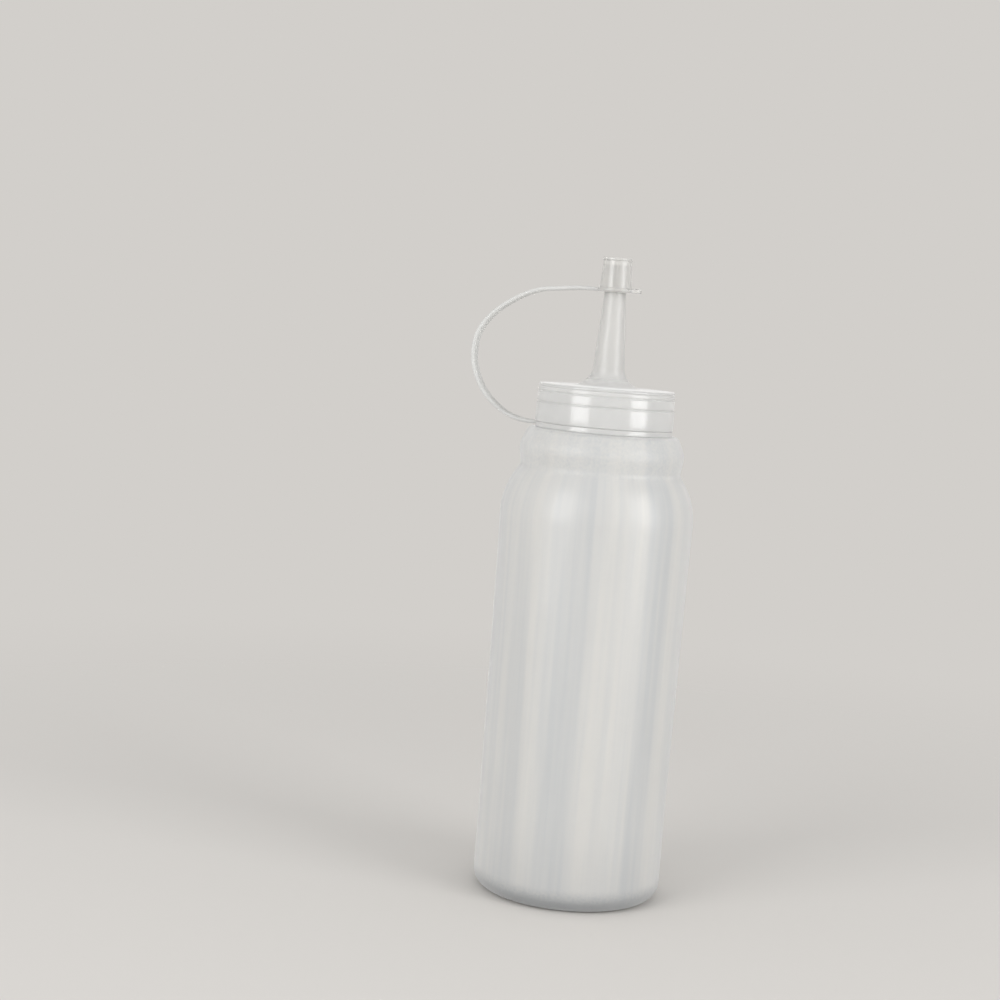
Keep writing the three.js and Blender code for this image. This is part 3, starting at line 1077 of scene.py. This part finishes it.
# %% The strap
# Each pair of ROUTE_SHARES is a point of the route: how far out, as a share of STRAP_REACH, and how
# far up from the ring to the flange. Both ends run ROOT_SINK into the piece that they grow out of.
STRAP_WIDTH = 3.5
STRAP_THICKNESS = 1.2
STRAP_REACH = 42.1
STRAP_EDGE = 0.5
STRAP_STEPS = 420
ROOT_THINNING = -0.2
ROOT_BROADENING = 0.6
TIP_CAP_LEVEL = NOZZLE_TIP - 7.6
FLANGE_THICKNESS = 1.1
FLANGE_RADIUS = 5.18
ROOT_SINK = 0.7
strap_high = TIP_CAP_LEVEL + FLANGE_THICKNESS / 2
strap_low = RING_LEVEL + RING_THICKNESS / 2
ROUTE_SHARES = [
    (0.25, 1.0),
    (0.4, 0.985),
    (0.55, 0.965),
    (0.7, 0.9),
    (0.86, 0.785),
    (0.965, 0.65),
    (1.0, 0.51),
    (0.985, 0.36),
    (0.9, 0.19),
    (0.76, 0.065),
    (0.62, 0.01),
]
route = [(-(FLANGE_RADIUS - ROOT_SINK), strap_high)]
route += [(-out * STRAP_REACH, strap_low + up * (strap_high - strap_low)) for out, up in ROUTE_SHARES]
route += [(-(RING_OUTER - ROOT_SINK), strap_low)]
strap_line = line_mesh("strap_line", route)
strap_line.transform(TETHER_TURN)
half_wide = STRAP_WIDTH / 2
half_thick = STRAP_THICKNESS / 2
strap_corners = [
    (half_wide, -half_thick, STRAP_EDGE),
    (half_wide, half_thick, STRAP_EDGE),
    (-half_wide, half_thick, STRAP_EDGE),
    (-half_wide, -half_thick, STRAP_EDGE),
]
strap_section = section_mesh("strap_section", outline_of(strap_corners))
section_holder = bpy.data.objects.new("strap_section_holder", strap_section)
bpy.context.scene.collection.objects.link(section_holder)
across_loop = TETHER_TURN @ Vector((0, 1, 0))
tether_strap = grow(
    "tether_band",
    strap_line,
    band,
    {
        "Across": across_loop,
        "Root thinning": ROOT_THINNING,
        "Root broadening": ROOT_BROADENING,
        "Steps": STRAP_STEPS,
        "Section": section_holder,
        "Finish": strained_finish,
    },
)
bpy.data.objects.remove(section_holder)

# %% Settle the strap, which rides on no body, and bake its place into its mesh
settle(tether_strap, "tether", "tether_strap", ride=False)
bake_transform(tether_strap)

# %% [markdown]
# ## The tip cap
# The tip cap is a small thimble over the nozzle, with a thicker rim on top, a flange at its mouth
# and a tab to pull it off by. Three small ribs across the tab give the finger a grip. The ribs are
# the same shape repeated, so a tree sets copies of one bar along a line.

# %% The tip cap's thimble
# Its mouth is the open end at the flange, and its crown the closed end over the nozzle's tip.
TIP_CEILING = NOZZLE_TIP + SEAT_GAP
TIP_TOP = NOZZLE_TIP + 2.3
FLANGE_TOP = TIP_CAP_LEVEL + FLANGE_THICKNESS
MOUTH_BORE = 3.38
CROWN_BORE = 2.85
TIP_CAP_WALL = 1.3
RIM_RADIUS = 4.35
HOLLOW_DEPTH = 0.25
thimble = turn(
    "tip_closure",
    [
        (0, TIP_CEILING),
        (CROWN_BORE, TIP_CEILING, 0.3),
        (MOUTH_BORE, TIP_CAP_LEVEL, 0.2),
        (FLANGE_RADIUS, TIP_CAP_LEVEL, 0.3),
        (FLANGE_RADIUS, FLANGE_TOP, 0.3),
        (MOUTH_BORE + TIP_CAP_WALL, FLANGE_TOP, 0.25),
        (CROWN_BORE + TIP_CAP_WALL, TIP_TOP - 0.9, 0.1),
        (RIM_RADIUS, TIP_TOP - 0.75, 0.1),
        (RIM_RADIUS, TIP_TOP, 0.35),
        (3.1, TIP_TOP, 0.2),
        (2.9, TIP_TOP - HOLLOW_DEPTH, 0.2),
        (0, TIP_TOP - HOLLOW_DEPTH),
    ],
    tip_finish,
    COLUMNS_SMALL,
)

# %% The finger tab
# It starts at TAB_ROOT, inside the thimble's wall, so the boolean joins the two.
TAB_ROOT = 4.0
TAB_REACH = 7.9
TAB_WIDTH = 3.4
TAB_SOFTENING = 0.25
TAB_ROUND_STEPS = 24
tab_half = TAB_WIDTH / 2
tab_outline = [(TAB_ROOT, -tab_half)]
for step in range(TAB_ROUND_STEPS + 1):
    swing = math.pi * (step / TAB_ROUND_STEPS - 0.5)
    tab_outline.append(
        (TAB_REACH - tab_half + tab_half * math.cos(swing), tab_half * math.sin(swing))
    )
tab_outline.append((TAB_ROOT, tab_half))
tab_mesh = bpy.data.meshes.new("finger_tab")
tab_mesh.from_pydata(
    [(x * MM, y * MM, TIP_CAP_LEVEL * MM) for x, y in tab_outline], [], [range(len(tab_outline))]
)
tab_mesh.materials.append(tip_finish)
tab = bpy.data.objects.new("finger_tab", tab_mesh)
bpy.context.scene.collection.objects.link(tab)
thicken = tab.modifiers.new("thickness", "SOLIDIFY")
thicken.thickness = FLANGE_THICKNESS * MM
thicken.offset = 1
soften = tab.modifiers.new("soft_edges", "BEVEL")
soften.width = TAB_SOFTENING * MM
soften.segments = 3
bpy.context.view_layer.update()
print("the tab is", [round(v / MM, 2) for v in tab.dimensions], "mm")

# %% The grip ribs
RIB_COUNT = 3
RIB_SPACING = 0.85
FIRST_RIB = TAB_REACH - 2.6
ribs, given = start_tree("grip ribs", {"Count": "Int", "First": "Vector", "Step": "Vector"})
spots = add_node(
    ribs,
    "GeometryNodeMeshLine",
    {"Count": given["Count"], "Start Location": given["First"], "Offset": given["Step"]},
)
copies = add_node(
    ribs,
    "GeometryNodeInstanceOnPoints",
    {"Points": spots.outputs["Mesh"], "Instance": given["Geometry"]},
)
end_tree(ribs, copies.outputs["Instances"], given["Finish"])
one_rib = rounded_bar("one_rib", length=2.3, width=0.45, height=0.6, finish=tip_finish)
one_rib.data.transform(Matrix.Rotation(math.radians(90), 4, "Z"))
grip_ribs = grow(
    "grip_ribs",
    one_rib.data,
    ribs,
    {
        "Count": RIB_COUNT,
        "First": Vector((FIRST_RIB, 0, FLANGE_TOP)) * MM,
        "Step": Vector((RIB_SPACING, 0, 0)) * MM,
        "Finish": tip_finish,
    },
)
bpy.data.objects.remove(one_rib)
tip_closure = join_solids(thimble, tab, grip_ribs)
tip_closure.data.transform(TETHER_TURN)
settle(tip_closure, "tip", "tip_cap")

# %% [markdown]
# ## Floor, light and camera
# The floor is a pale disc that fades out into the world's pale colour, so no edge of it shows from
# any side. Two tall soft boxes stand in front, one on each side, as in a product studio, and give
# the two upright highlights. The world adds a low even light, and it shows its pale colour only to
# the camera and to rays that gloss and clear plastic send out.

# %% The floor
# It is seen whole up to FADE_FROM metres from the bottle, and has faded out at FADE_TO.
FLOOR_COLOUR = "#d8d5d1"
FLOOR_SIDES = 96
FLOOR_RADIUS = 2
FADE_FROM = 0.12
FADE_TO = 0.5
floor_mesh = bpy.data.meshes.new("floor")
floor_angles = [math.tau * i / FLOOR_SIDES for i in range(FLOOR_SIDES)]
floor_mesh.from_pydata(
    [(FLOOR_RADIUS * math.cos(a), FLOOR_RADIUS * math.sin(a), 0) for a in floor_angles],
    [],
    [range(FLOOR_SIDES)],
)
floor = bpy.data.objects.new("floor", floor_mesh)
bpy.context.scene.collection.objects.link(floor)
paper, tree, place = start_material("matte studio paper")
from_middle = add_node(tree, "ShaderNodeVectorMath", {0: place}, operation="LENGTH")
fade = add_node(
    tree,
    "ShaderNodeMapRange",
    {"Value": from_middle.outputs["Value"], "From Min": FADE_FROM, "From Max": FADE_TO},
    interpolation_type="SMOOTHSTEP",
)
matte = add_node(tree, "ShaderNodeBsdfDiffuse", {"Color": colour_of(FLOOR_COLOUR)})
gone = add_node(tree, "ShaderNodeBsdfTransparent")
seen = add_node(
    tree, "ShaderNodeMixShader", {0: fade.outputs[0], 1: matte.outputs[0], 2: gone.outputs[0]}
)
end_material(tree, seen.outputs[0])
floor_mesh.materials.append(paper)

# %% The world
BACKDROP = "#d2cfcb"
WORLD_FILL = 0.72
world = bpy.data.worlds.new("studio")
world.use_nodes = True
bpy.context.scene.world = world
tree = world.node_tree
tree.nodes.clear()
fill = add_node(tree, "ShaderNodeBackground", {"Color": (1, 1, 1, 1), "Strength": WORLD_FILL})
shown = add_node(tree, "ShaderNodeBackground", {"Color": colour_of(BACKDROP), "Strength": 1.0})
path = add_node(tree, "ShaderNodeLightPath").outputs
direct = add_node(
    tree, "ShaderNodeMath", {0: path["Is Camera Ray"], 1: path["Is Glossy Ray"]}, operation="MAXIMUM"
)
through = add_node(
    tree, "ShaderNodeMath", {0: direct.outputs[0], 1: path["Is Transmission Ray"]}, operation="MAXIMUM"
)
either = add_node(
    tree, "ShaderNodeMixShader", {0: through.outputs[0], 1: fill.outputs[0], 2: shown.outputs[0]}
)
out = tree.nodes.new("ShaderNodeOutputWorld")
tree.links.new(either.outputs[0], out.inputs["Surface"])

# %% The two soft boxes
# Each is tipped down only a little: it looks at a point LEVEL_SHARE of the way up from the middle of
# the bottle to its own level. Distances are in metres.
LAMP_DISTANCE = 0.9
LAMP_LEVEL = 0.38
LAMP_WIDTH = 0.5
LAMP_HEIGHT = 0.8
LAMP_WATTS = 4.0
LEVEL_SHARE = 0.6
AIM = Vector((0, 0, 0.1))


def soft_box(name, azimuth):
    """azimuth is in degrees from the camera's side, to the right of it as the camera looks."""
    light = bpy.data.lights.new(name, "AREA")
    light.shape = "RECTANGLE"
    light.size = LAMP_WIDTH
    light.size_y = LAMP_HEIGHT
    light.energy = LAMP_WATTS
    lamp = bpy.data.objects.new(name, light)
    angle = math.radians(azimuth)
    lamp.location = (LAMP_DISTANCE * math.sin(angle), -LAMP_DISTANCE * math.cos(angle), LAMP_LEVEL)
    towards = AIM + Vector((0, 0, LAMP_LEVEL - AIM.z)) * LEVEL_SHARE - lamp.location
    lamp.rotation_euler = towards.to_track_quat("-Z", "Y").to_euler()
    lamp.visible_camera = False
    bpy.context.scene.collection.objects.link(lamp)


soft_box("left_soft_box", azimuth=-42)
soft_box("right_soft_box", azimuth=58)

# %% The camera
# It stands about 0.57 m in front, a little above the cap, looks slightly down and leans to one side.
CAMERA_PLACE = Vector((0, -571.5, 167.0)) * MM
YAW = -0.050
PITCH_DOWN = 0.092
ROLL = -0.080
FOCAL_PIXELS = 1952
IMAGE_PIXELS = 1000
SENSOR = 36.0
ahead = Vector(
    (math.sin(YAW) * math.cos(PITCH_DOWN), math.cos(YAW) * math.cos(PITCH_DOWN), -math.sin(PITCH_DOWN))
)
level_right = Vector((math.cos(YAW), -math.sin(YAW), 0))
level_up = level_right.cross(ahead)
right = level_right * math.cos(ROLL) - level_up * math.sin(ROLL)
up = level_right * math.sin(ROLL) + level_up * math.cos(ROLL)
lens = bpy.data.cameras.new("camera")
lens.sensor_width = SENSOR
lens.lens = FOCAL_PIXELS * SENSOR / IMAGE_PIXELS
camera = bpy.data.objects.new("camera", lens)
turned_camera = Matrix((right, up, -ahead)).transposed().to_4x4()
camera.matrix_world = Matrix.Translation(CAMERA_PLACE) @ turned_camera
bpy.context.scene.collection.objects.link(camera)
bpy.context.scene.camera = camera
bpy.context.scene.view_settings.view_transform = "Standard"
print("the lens is", round(lens.lens, 2), "mm")
